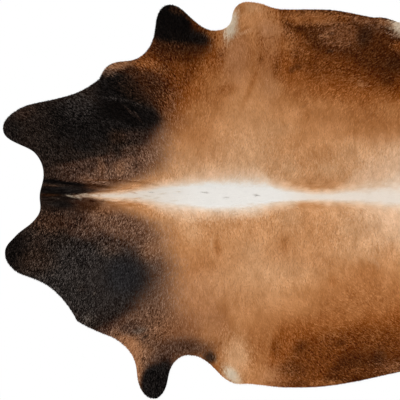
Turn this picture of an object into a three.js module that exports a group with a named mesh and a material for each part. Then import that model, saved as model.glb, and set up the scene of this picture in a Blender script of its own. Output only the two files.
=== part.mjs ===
// Cowhide area rug: one whole hair-on hide in a single piece, lying flat, hair side up.
// Millimetres, +Z up. The spine runs along X at y = 0, the neck towards -X and the tail
// towards +X. The origin is on the surface the rug lies on, midway along and across it.
import * as THREE from "three";

const LEATHER_THICKNESS = 2.5;
const HAIR_DEPTH = 3.5; // the hair lies down, so this is far less than its length
const COAT_COLOUR = 0xa5713f;
const COAT_ROUGHNESS = 0.85;

// The cut edge, from the neck to the tail, one row for each bend on each side of the spine.
//   x        place along the spine
//   out      distance from the spine
//   heading  the way the edge runs there, in degrees: 0 is tailwards, 90 is away from the
//            spine, 180 is neckwards and -90 is back towards the spine
//   leaving  the heading after a corner, where the edge turns sharply
const NECK = { x: -1030, out: 0, heading: 90 };
const TAIL = { x: 1200, out: 0, heading: -90 };

const RIGHT_SIDE = [
  { place: "neck hollow", x: -1012, out: 102, heading: 90 },
  { place: "root of the cheek", x: -1042, out: 192, heading: 126 },
  { place: "inside of the cheek", x: -1119, out: 241, heading: 155 },
  { place: "cheek tip", x: -1200, out: 315, heading: 90 },
  { place: "outside of the cheek", x: -1144, out: 395, heading: 36 },
  { place: "jaw", x: -978, out: 449, heading: 13 },
  { place: "throat", x: -802, out: 511, heading: 32 },
  { place: "throat corner", x: -752, out: 546, heading: 36, leaving: 67 },
  { place: "shoulder bump", x: -713, out: 606, heading: 38 },
  { place: "shoulder", x: -623, out: 630, heading: 6 },
  { place: "root of the foreleg", x: -546, out: 662, heading: 42 },
  { place: "front of the foreleg", x: -500, out: 745, heading: 76 },
  { place: "side of the foreleg tip", x: -482, out: 843, heading: 70 },
  { place: "foreleg tip", x: -428, out: 890, heading: 0 },
  { place: "back of the foreleg", x: -361, out: 859, heading: -42 },
  { place: "foot of the armpit", x: -287, out: 794, heading: -35 },
  { place: "armpit", x: -218, out: 769, heading: 0 },
  { place: "root of the brisket", x: -153, out: 796, heading: 50 },
  { place: "side of the brisket", x: -132, out: 861, heading: 70 },
  { place: "brisket", x: -72, out: 902, heading: 0 },
  { place: "end of the brisket", x: -5, out: 894, heading: -14 },
  { place: "front of the belly", x: 67, out: 871, heading: -8 },
  { place: "belly", x: 185, out: 868, heading: 0 },
  { place: "rear of the belly", x: 361, out: 861, heading: -9 },
  { place: "flank fold", x: 509, out: 832, heading: -10 },
  { place: "flank bump", x: 549, out: 832, heading: -4 },
  { place: "flank", x: 639, out: 806, heading: -17 },
  { place: "waist", x: 770, out: 782, heading: 4 },
  { place: "front of the hind leg", x: 885, out: 848, heading: 44 },
  { place: "hind leg tip", x: 998, out: 940, heading: 0 },
  { place: "back of the hind leg", x: 1064, out: 868, heading: -92 },
  { place: "hollow of the thigh", x: 1052, out: 730, heading: -88 },
  { place: "buttock", x: 1090, out: 510, heading: -74 },
  { place: "rump", x: 1138, out: 280, heading: -82 },
  { place: "root of the tail", x: 1154, out: 80, heading: -68 },
  { place: "side of the tail", x: 1179, out: 42, heading: -48 },
];

const LEFT_SIDE = [
  { place: "neck hollow", x: -1027, out: 52, heading: 94 },
  { place: "root of the cheek", x: -1054, out: 106, heading: 130 },
  { place: "inside of the cheek", x: -1142, out: 181, heading: 132 },
  { place: "cheek tip", x: -1191, out: 258, heading: 90 },
  { place: "outside of the cheek", x: -1158, out: 328, heading: 46 },
  { place: "jaw", x: -1065, out: 375, heading: 22 },
  { place: "throat", x: -965, out: 431, heading: 42 },
  { place: "throat corner", x: -856, out: 574, heading: 62, leaving: 29 },
  { place: "shoulder bump", x: -741, out: 630, heading: 21 },
  { place: "shoulder", x: -648, out: 678, heading: 40 },
  { place: "root of the foreleg", x: -590, out: 759, heading: 71 },
  { place: "front of the foreleg", x: -574, out: 852, heading: 78 },
  { place: "foreleg tip", x: -501, out: 933, heading: 0 },
  { place: "back of the foreleg", x: -449, out: 889, heading: -65 },
  { place: "foot of the armpit", x: -425, out: 799, heading: -69 },
  { place: "armpit", x: -340, out: 731, heading: 0 },
  { place: "root of the brisket", x: -227, out: 787, heading: 45 },
  { place: "brisket", x: -134, out: 860, heading: 18 },
  { place: "brisket fold", x: -70, out: 864, heading: 2 },
  { place: "front of the belly", x: 67, out: 879, heading: 5 },
  { place: "belly", x: 185, out: 882, heading: 0 },
  { place: "rear of the belly", x: 421, out: 857, heading: -10 },
  { place: "flank", x: 597, out: 819, heading: -11 },
  { place: "waist", x: 762, out: 790, heading: 2 },
  { place: "front of the hind leg", x: 872, out: 850, heading: 46 },
  { place: "hind leg tip", x: 984, out: 940, heading: 0 },
  { place: "back of the hind leg", x: 1052, out: 864, heading: -90 },
  { place: "hollow of the thigh", x: 1044, out: 735, heading: -88 },
  { place: "buttock", x: 1086, out: 500, heading: -74 },
  { place: "rump", x: 1136, out: 270, heading: -82 },
  { place: "root of the tail", x: 1154, out: 76, heading: -68 },
  { place: "side of the tail", x: 1180, out: 40, heading: -48 },
];

// Length of a bend's handles, as a share of the straight distance between its landmarks
const HANDLE = 0.37;
const STEPS_PER_BEND = 7;

// The four control points of the edge's bend from one landmark to the next. side is +1 on
// the right of the spine and -1 on the left.
function bendPoints(from, to, side) {
  const reach = HANDLE * Math.hypot(to.x - from.x, to.out - from.out);
  const leave = THREE.MathUtils.degToRad(from.leaving ?? from.heading);
  const arrive = THREE.MathUtils.degToRad(to.heading);
  const point = (x, out) => new THREE.Vector2(x, side * out);
  return [
    point(from.x, from.out),
    point(from.x + reach * Math.cos(leave), from.out + reach * Math.sin(leave)),
    point(to.x - reach * Math.cos(arrive), to.out - reach * Math.sin(arrive)),
    point(to.x, to.out),
  ];
}

function sideBends(rows, side) {
  const landmarks = [NECK, ...rows, TAIL];
  return landmarks.slice(1).map((to, i) => bendPoints(landmarks[i], to, side));
}

// The whole outline: from the neck down the left side to the tail, then back up the right
function hideOutline() {
  const outline = new THREE.Shape();
  for (const points of sideBends(LEFT_SIDE, -1)) {
    outline.add(new THREE.CubicBezierCurve(...points));
  }
  for (const points of sideBends(RIGHT_SIDE, 1).reverse()) {
    outline.add(new THREE.CubicBezierCurve(...points.reverse()));
  }
  return outline;
}

function cowhide() {
  const sheet = new THREE.ExtrudeGeometry(hideOutline(), {
    depth: LEATHER_THICKNESS + HAIR_DEPTH,
    bevelEnabled: false,
    curveSegments: STEPS_PER_BEND,
  });
  const coat = new THREE.MeshStandardMaterial({
    color: COAT_COLOUR,
    roughness: COAT_ROUGHNESS,
    metalness: 0,
  });
  const mesh = new THREE.Mesh(sheet, coat);
  mesh.name = "cowhide";
  return mesh;
}

const rug = new THREE.Group();
rug.add(cowhide());

export default rug;
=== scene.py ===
"""Cowhide area rug: the looks of a whole hair-on hide lying flat on a pale floor.

The tanned skin is one thin closed sheet with low creases. The coat is five bands of short
locks of hair, laid on it by Geometry Nodes. Each lock takes its colour, length and lie from
the coat chart, which is painted here from named shades and a few tables of markings.
Metres, in the frame's own axes: the spine runs along X at y = 0, the neck towards -X, and
the hide's right side is towards +Y.
"""

import math
from collections import namedtuple

import bpy
import numpy as np
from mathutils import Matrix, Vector
from mathutils.geometry import delaunay_2d_cdt


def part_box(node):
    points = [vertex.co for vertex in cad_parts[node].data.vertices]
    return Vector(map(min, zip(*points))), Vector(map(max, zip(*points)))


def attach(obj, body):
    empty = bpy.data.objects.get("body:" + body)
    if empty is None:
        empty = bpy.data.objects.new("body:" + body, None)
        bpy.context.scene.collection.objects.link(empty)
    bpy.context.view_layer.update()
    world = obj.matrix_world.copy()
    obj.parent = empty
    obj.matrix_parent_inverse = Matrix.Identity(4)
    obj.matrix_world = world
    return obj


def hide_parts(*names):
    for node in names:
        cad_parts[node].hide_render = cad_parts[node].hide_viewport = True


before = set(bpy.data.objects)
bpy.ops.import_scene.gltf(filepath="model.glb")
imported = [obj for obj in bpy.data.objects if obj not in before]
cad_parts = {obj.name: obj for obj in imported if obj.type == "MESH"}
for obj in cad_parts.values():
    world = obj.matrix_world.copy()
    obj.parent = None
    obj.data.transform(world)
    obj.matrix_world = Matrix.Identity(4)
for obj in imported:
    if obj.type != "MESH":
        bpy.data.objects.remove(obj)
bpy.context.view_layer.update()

LOW, HIGH = (np.array(corner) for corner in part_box("cowhide"))
NECK_TIP = LOW[0]
SEED = 4207


# ---- objects and meshes ----

def placed(name, data):
    """A new object in the scene, at the origin and unturned."""
    thing = bpy.data.objects.new(name, data)
    bpy.context.scene.collection.objects.link(thing)
    return thing


def vertex_places(mesh):
    places = np.empty(len(mesh.vertices) * 3)
    mesh.vertices.foreach_get("co", places)
    return places.reshape(-1, 3)


def add_values(mesh, name, values):
    """One number for each vertex, for the nodes to read by name."""
    mesh.attributes.new(name, "FLOAT", "POINT").data.foreach_set("value", values)


def add_colours(mesh, name, colours):
    """One colour for each vertex, for the materials to read by name."""
    layer = mesh.attributes.new(name, "FLOAT_COLOR", "POINT")
    layer.data.foreach_set("color", np.column_stack([colours, np.ones(len(colours))]).ravel())


# ---- camera ----

VIEW_WIDTH = 1.852       # how much of the hide's length is in view, from the neck on
NECK_MARGIN = 0.013      # clear floor in front of the cheek tips
VIEW_SIDEWAYS = -0.014
CAMERA_HEIGHT = 6.0
SENSOR = 36.0


def look_straight_down():
    data = bpy.data.cameras.new("camera")
    data.sensor_width = SENSOR
    data.lens = SENSOR * CAMERA_HEIGHT / VIEW_WIDTH
    data.clip_end = 100
    camera = placed("camera", data)
    middle = NECK_TIP - NECK_MARGIN + VIEW_WIDTH / 2
    camera.location = (middle, VIEW_SIDEWAYS, HIGH[2] + CAMERA_HEIGHT)
    bpy.context.scene.camera = camera


# ---- nodes ----

class Value:
    """One socket of a node, on which ordinary sums add the tree's Math nodes."""

    def __init__(self, tree, socket):
        self.tree = tree
        self.socket = socket

    def math(self, operation, *values):
        return self.tree.add("ShaderNodeMath", dict(enumerate(values)), operation=operation)

    def __add__(self, other):
        return self.math("ADD", self, other)

    def __radd__(self, other):
        return self.math("ADD", other, self)

    def __sub__(self, other):
        return self.math("SUBTRACT", self, other)

    def __rsub__(self, other):
        return self.math("SUBTRACT", other, self)

    def __mul__(self, other):
        return self.math("MULTIPLY", self, other)

    def __rmul__(self, other):
        return self.math("MULTIPLY", other, self)


class Tree:
    """A node tree, filled one node at a time."""

    def __init__(self, nodes, links):
        self.nodes = nodes
        self.links = links

    def add(self, kind, sockets=None, out=0, **settings):
        node = self.nodes.new(kind)
        for name, setting in settings.items():
            setattr(node, name, setting)
        for name, value in (sockets or {}).items():
            socket = node.inputs[name]
            if isinstance(value, Value):
                self.links.new(value.socket, socket)
            else:
                socket.default_value = value
        return Value(self, node.outputs[out]) if node.outputs else None

    def shared(self, value, out):
        """Another output of the node that a value comes from."""
        return Value(self, value.socket.node.outputs[out])


def new_material(name):
    material = bpy.data.materials.new(name)
    material.use_nodes = True
    material.node_tree.nodes.clear()
    return material, Tree(material.node_tree.nodes, material.node_tree.links)


def tint(tree, colour, amount, blend="MULTIPLY", factor=1.0):
    """A colour mixed with another colour, or with a grey given as a value."""
    sockets = {0: factor, 6: colour, 7: amount}
    return tree.add("ShaderNodeMix", sockets, out=2, data_type="RGBA", blend_type=blend)


# ---- outline ----

def open_edges(faces):
    """The edges that only one face has, each as its two corners in that face's order."""
    edges = {}
    for face in faces:
        for a, b in zip(face, face[1:] + face[:1]):
            if (b, a) in edges:
                del edges[(b, a)]
            else:
                edges[(a, b)] = True
    return list(edges)


def edge_loop(obj):
    """The hide's outline, read from the underside of its solid, as an ordered loop."""
    keys = [tuple(k) for k in np.round(vertex_places(obj.data), 5)]
    faces = [[keys[i] for i in polygon.vertices] for polygon in obj.data.polygons]
    under = [face for face in faces if max(abs(z - LOW[2]) for _, _, z in face) <= 1e-4]
    following = dict(open_edges(under))
    start = next(iter(following))
    loop = [start]
    while following[loop[-1]] != start:
        loop.append(following[loop[-1]])
    return np.array(loop)[:, :2]


def off_line(x, y, ax, ay, bx, by):
    """How far each place is from the line between two others."""
    ex, ey = bx - ax, by - ay
    along = np.clip(((x - ax) * ex + (y - ay) * ey) / (ex * ex + ey * ey), 0.0, 1.0)
    return np.hypot(x - ax - along * ex, y - ay - along * ey)


def signed_distance(x, y, loop):
    """How far each place is inside the loop, and negative outside it."""
    nearest = np.full(x.shape, np.inf)
    inside = np.zeros(x.shape, bool)
    for (ax, ay), (bx, by) in zip(loop, np.roll(loop, -1, axis=0)):
        nearest = np.minimum(nearest, off_line(x, y, ax, ay, bx, by))
        crosses = (ay > y) != (by > y)
        if ay != by:
            inside ^= crosses & (x < (by * ax - ay * bx + y * (bx - ax)) / (by - ay))
    return np.where(inside, nearest, -nearest)


def between(grid, i, j, fu, fv):
    """A grid's value part of the way from one of its places to the next ones."""
    near = grid[j, i] * (1 - fu) + grid[j, i + 1] * fu
    far = grid[j + 1, i] * (1 - fu) + grid[j + 1, i + 1] * fu
    return near * (1 - fv) + far * fv


class Chart:
    """Numbers kept on an even grid over the rug, read back smoothly at any place."""

    def __init__(self, cell):
        self.cell = cell
        margin = 0.06
        self.corner = LOW[:2] - margin
        self.columns, self.rows = np.ceil((HIGH[:2] + margin - self.corner) / cell).astype(int) + 1
        self.x, self.y = np.meshgrid(
            self.corner[0] + cell * np.arange(self.columns),
            self.corner[1] + cell * np.arange(self.rows),
        )

    def read(self, field, x, y):
        u = np.clip((x - self.corner[0]) / self.cell, 0, self.columns - 1.001)
        v = np.clip((y - self.corner[1]) / self.cell, 0, self.rows - 1.001)
        i, j = u.astype(int), v.astype(int)
        return between(field, i, j, u - i, v - j)


def even_spread(spacing):
    """Places in rows across the hide, every other row shifted by half a spacing."""
    xs = np.arange(LOW[0], HIGH[0], spacing)
    ys = np.arange(LOW[1], HIGH[1], spacing * math.sqrt(3) / 2)
    x, y = np.meshgrid(xs, ys)
    return x + spacing / 2 * (np.arange(len(ys)) % 2)[:, None], y


# ---- soft noise ----

def smooth(t):
    t = np.clip(t, 0, 1)
    return t * t * (3 - 2 * t)


def ramp(value, none, full):
    """A soft step: 0 where the value is at none or short of it, 1 at full and past it."""
    return smooth((value - none) / (full - none))


# What chance is used for, each with its own offset from the seed
ROOTS, HAIRS, LEANING, WAVES, RIPPLES, MOTTLING, CLUMPS, THREADS = 0, 1, 11, 21, 22, 31, 41, 44


def dice(offset):
    """Seeded chance, of its own for each use."""
    return np.random.default_rng(SEED + offset)


def cloud(x, y, size, seed):
    """Even soft noise between -1 and 1, in lumps about size across."""
    reach = 2.0
    count = int(2 * reach / size) + 3
    grid = dice(seed).uniform(-1.0, 1.0, (count, count))
    u, v = (x + reach) / size, (y + reach) / size
    i, j = u.astype(int), v.astype(int)
    return between(grid, i, j, smooth(u - i), smooth(v - j))


# ---- coat chart ----

# The hair's colours by daylight, some also laid as painted shade or sheen, as screen values from 0
# to 255
SHADES = {
    "cream": (229, 229, 228),
    "smoke": (206, 192, 172),
    "peach": (222, 196, 171),
    "buff": (217, 180, 147),
    "gold": (203, 159, 119),
    "tan": (192, 137, 90),
    "fawn": (172, 122, 86),
    "chestnut": (162, 105, 60),
    "hazel": (141, 94, 62),
    "russet": (140, 80, 34),
    "brown": (109, 58, 19),
    "umber": (74, 36, 9),
    "bay": (76, 43, 22),
    "sable": (53, 28, 12),
    "walnut": (110, 79, 60),
    "ash": (96, 86, 78),
    "grizzle": (70, 49, 38),
    "soot": (37, 28, 23),
    "charcoal": (46, 41, 39),
    # blue-black, partly a painted sheen on the dark hair
    "slate_sheen": (37, 36, 38),
    "black": (16, 13, 12),
    "jet": (9, 6, 5),
}

GROUND = "tan"

# How far out from the spine the coat turns to each darker shade, at places along the spine
DARKER = ["chestnut", "russet", "brown", "umber"]
DARKER_SOFT = [0.1, 0.08, 0.06, 0.05]
RIGHT_SIDE = [
    # x, chestnut, russet, brown, umber
    (-0.62, 0.3, 0.38, 0.44, 0.6),
    (-0.52, 0.3, 0.37, 0.45, 0.8),
    (-0.46, 0.3, 0.38, 0.44, 0.62),
    (-0.4, 0.29, 0.41, 0.46, 0.65),
    (-0.36, 0.28, 0.42, 0.5, 0.64),
    (-0.32, 0.28, 0.45, 0.55, 0.65),
    (-0.26, 0.28, 0.5, 0.64, 0.7),
    (-0.22, 0.36, 0.54, 0.7, 0.95),
    (-0.18, 0.42, 0.58, 0.95, 1.1),
    (-0.12, 0.56, 0.92, 1.1, 1.2),
    (-0.06, 0.54, 0.95, 1.1, 1.2),
    (0.0, 0.49, 0.64, 1.1, 1.2),
    (0.06, 0.44, 0.56, 0.95, 1.1),
    (0.1, 0.42, 0.53, 0.74, 1.0),
    (0.15, 0.4, 0.51, 0.61, 0.93),
    (0.2, 0.35, 0.51, 0.58, 0.74),
    (0.26, 0.37, 0.47, 0.55, 0.68),
    (0.32, 0.34, 0.46, 0.56, 0.665),
    (0.4, 0.33, 0.45, 0.54, 0.65),
    (0.47, 0.3, 0.44, 0.52, 0.6),
    (0.54, 0.295, 0.46, 0.49, 0.565),
    (0.6, 0.29, 0.44, 0.475, 0.55),
    (0.8, 0.32, 0.44, 0.52, 0.6),
    (1.0, 0.34, 0.48, 0.58, 0.68),
    (1.2, 0.34, 0.48, 0.6, 0.72),
]
LEFT_SIDE = [
    (-0.6, 0.48, 0.78, 0.86, 1.0),
    (-0.34, 0.49, 0.78, 0.84, 0.95),
    (-0.3, 0.5, 0.78, 0.83, 0.92),
    (-0.25, 0.52, 0.76, 0.82, 0.9),
    (-0.21, 0.5, 0.8, 0.86, 1.0),
    (-0.17, 0.5, 0.95, 1.1, 1.2),
    (-0.12, 0.62, 1.1, 1.2, 1.3),
    (-0.02, 0.57, 1.05, 1.15, 1.2),
    (0.05, 0.54, 0.65, 0.87, 1.2),
    (0.1, 0.52, 0.59, 0.77, 1.15),
    (0.15, 0.51, 0.575, 0.695, 1.1),
    (0.22, 0.47, 0.575, 0.655, 1.0),
    (0.3, 0.42, 0.56, 0.63, 0.82),
    (0.38, 0.38, 0.565, 0.62, 0.73),
    (0.44, 0.35, 0.56, 0.6, 0.72),
    (0.5, 0.34, 0.54, 0.605, 0.73),
    (0.57, 0.37, 0.53, 0.605, 0.76),
    (0.64, 0.38, 0.5, 0.605, 0.74),
    (0.8, 0.36, 0.5, 0.58, 0.68),
    (1.0, 0.36, 0.5, 0.6, 0.7),
    (1.2, 0.34, 0.48, 0.6, 0.72),
]

# The dark cape over the neck and shoulders: how far tailwards each shade reaches, from the
# left side across the spine to the right
CAPE = ["walnut", "bay", "grizzle", "soot"]
CAPE_SOFT = [0.14, 0.07, 0.06, 0.05]
CAPE_SCATTER = [0.8, 1.3, 1.3, 1.3]
CAPE_EDGE = [
    # y, walnut, bay, grizzle, soot
    (-0.74, -0.4, -1.3, -0.88, -0.95),
    (-0.64, -0.35, -1.3, -0.74, -0.84),
    (-0.57, -0.37, -1.3, -0.65, -0.7),
    (-0.52, -0.4, -1.3, -0.585, -0.63),
    (-0.45, -0.41, -1.3, -0.56, -0.585),
    (-0.38, -0.41, -1.3, -0.515, -0.54),
    (-0.32, -0.405, -1.3, -0.54, -0.57),
    (-0.28, -0.43, -1.3, -0.57, -0.62),
    (-0.24, -0.45, -1.3, -0.61, -0.72),
    (-0.18, -0.46, -1.3, -0.7, -0.9),
    (-0.12, -0.5, -1.3, -0.8, -0.94),
    (-0.07, -0.62, -1.3, -0.82, -0.94),
    (0.0, -0.75, -1.3, -0.81, -0.86),
    (0.05, -0.68, -1.3, -0.8, -0.82),
    (0.09, -0.55, -1.3, -0.86, -1.02),
    (0.13, -0.49, -1.3, -0.78, -1.02),
    (0.17, -0.455, -1.3, -0.67, -0.86),
    (0.2, -0.45, -1.3, -0.59, -0.7),
    (0.25, -0.45, -0.9, -0.53, -0.56),
    (0.31, -0.42, -0.6, -0.5, -0.53),
    (0.36, -0.39, -0.47, -0.45, -0.47),
    (0.41, -0.42, -0.42, -0.5, -0.5),
    (0.46, -0.5, -0.38, -0.58, -0.53),
    (0.51, -0.56, -0.42, -0.62, -0.58),
    (0.56, -0.58, -0.47, -0.68, -0.63),
    (0.6, -0.6, -0.55, -0.72, -0.76),
    (0.64, -0.66, -0.7, -0.78, -0.82),
]

# Markings, laid over each other in this order. Each is a soft-edged oval of one shade:
#   x, y         its middle
#   long, wide   half its length and half its width
#   strength     how much of what is under it goes
#   soft         how much of its size the soft edge takes up, inside and outside
#   turn         how far its length is turned from the spine's line, in degrees
Oval = namedtuple("Oval", "shade x y long wide strength soft turn", defaults=(0.9, 0))
BACK = [
    ("gold", -0.16, 0.06, 0.38, 0.16, 0.8, 0.8),
    ("gold", -0.07, 0.17, 0.13, 0.1, 0.6, 0.8),
    ("gold", -0.05, 0.3, 0.14, 0.12, 0.4),
    ("gold", -0.02, -0.33, 0.24, 0.16, 0.5, 0.9, 12),
    ("gold", 0.56, 0.0, 0.26, 0.25, 0.9, 0.8),
    ("buff", 0.68, 0.0, 0.22, 0.25, 0.95, 0.6),
]
BACK_SPOTS = [
    ("chestnut", -0.28, 0.28, 0.04, 0.04, 0.15),
    ("chestnut", 0.28, 0.07, 0.09, 0.03, 0.3),
    ("russet", 0.17, 0.15, 0.03, 0.02, 0.25),
    ("russet", 0.42, 0.3, 0.04, 0.02, 0.3, 0.9, 10),
    ("russet", 0.21, 0.38, 0.012, 0.02, 0.35, 0.8),
    ("fawn", -0.33, -0.48, 0.15, 0.16, 0.55),
    ("fawn", -0.22, -0.6, 0.06, 0.06, 0.6),
    ("gold", -0.33, -0.16, 0.05, 0.05, 0.6),
    ("gold", 0.4, -0.26, 0.12, 0.05, 0.4),
    ("gold", -0.4, -0.115, 0.1, 0.03, 0.5),
    ("gold", -0.06, 0.13, 0.05, 0.03, 0.4),
    ("gold", 0.13, 0.13, 0.045, 0.035, 0.8),
    ("gold", 0.07, 0.31, 0.08, 0.03, 0.4),
    ("gold", 0.41, -0.15, 0.05, 0.03, 0.8),
    ("gold", 0.31, 0.13, 0.05, 0.03, 0.75),
    ("gold", 0.13, -0.1, 0.05, 0.06, 0.55),
    ("gold", -0.05, -0.25, 0.05, 0.04, 0.45),
    ("gold", 0.0, -0.46, 0.08, 0.06, 0.22),
    ("tan", 0.27, 0.41, 0.09, 0.04, 0.35),
    ("chestnut", -0.24, 0.19, 0.06, 0.06, 0.22),
    ("chestnut", -0.43, 0.31, 0.05, 0.05, 0.25),
    ("chestnut", 0.41, -0.34, 0.06, 0.04, 0.22),
    ("tan", 0.13, 0.4, 0.05, 0.04, 0.5),
    ("chestnut", -0.32, -0.33, 0.05, 0.05, 0.4),
    ("gold", 0.08, -0.34, 0.18, 0.05, 0.4),
    ("tan", 0.2, -0.51, 0.08, 0.04, 0.35),
    ("chestnut", -0.2, -0.29, 0.1, 0.06, 0.25),
    ("chestnut", 0.1, -0.26, 0.08, 0.05, 0.25),
    ("chestnut", -0.06, -0.5, 0.1, 0.07, 0.35),
    ("buff", -0.22, 0.115, 0.18, 0.045, 0.3),
    ("gold", 0.42, 0.21, 0.08, 0.05, 0.4),
    ("gold", 0.48, -0.2, 0.1, 0.06, 0.45),
    ("tan", -0.26, 0.36, 0.08, 0.06, 0.5),
    ("tan", 0.6, -0.28, 0.05, 0.05, 0.5),
    ("russet", -0.205, -0.235, 0.016, 0.034, 0.5, 0.8, 8),
    ("buff", -0.235, -0.215, 0.005, 0.022, 0.4, 0.7),
    ("russet", 0.105, -0.215, 0.026, 0.04, 0.35),
    ("chestnut", -0.26, -0.31, 0.05, 0.03, 0.4),
    ("russet", 0.33, -0.39, 0.028, 0.02, 0.45, 0.8, -60),
    ("buff", 0.52, -0.3, 0.03, 0.006, 0.5, 0.7, -30),
    ("buff", 0.535, -0.325, 0.012, 0.005, 0.4, 0.7, 60),
    ("russet", 0.5, -0.34, 0.06, 0.04, 0.25),
    ("chestnut", 0.27, -0.3, 0.08, 0.04, 0.25),
]
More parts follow.
